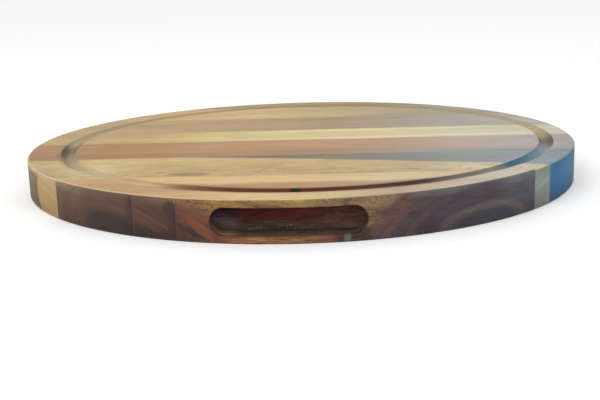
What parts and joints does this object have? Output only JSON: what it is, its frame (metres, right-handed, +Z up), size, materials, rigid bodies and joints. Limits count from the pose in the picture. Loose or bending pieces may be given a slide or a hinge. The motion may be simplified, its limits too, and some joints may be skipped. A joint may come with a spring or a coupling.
{
  "type": "round cutting board",
  "caption": "Round edge-grain cutting board glued from hardwood staves, with a juice groove round the top and a finger slot in the front and back edge.",
  "frame": {"origin": "middle of the underside, where the board rests", "axes": "+Z up through the board's thickness; +X along the staves and their grain; -Y out of the front edge, where the finger slot shown in the picture opens"},
  "size_m": [0.38, 0.38, 0.025],
  "materials": {
    "sapwood_and_heartwood_front": "oiled, satin",
    "cream_stave_with_dark_wedge": "oiled, satin",
    "pink_brown_heartwood": "oiled, satin",
    "bright_cream_sapwood": "oiled, satin",
    "grey_brown_heartwood": "oiled, satin",
    "pale_tan_wood": "oiled, satin"
  },
  "bodies": {
    "root": {"front_stave": "sapwood_and_heartwood_front", "second_stave": "cream_stave_with_dark_wedge", "third_stave": "pink_brown_heartwood", "fourth_stave": "bright_cream_sapwood", "fifth_stave": "grey_brown_heartwood", "back_stave": "pale_tan_wood"}
  },
  "joints": []
}
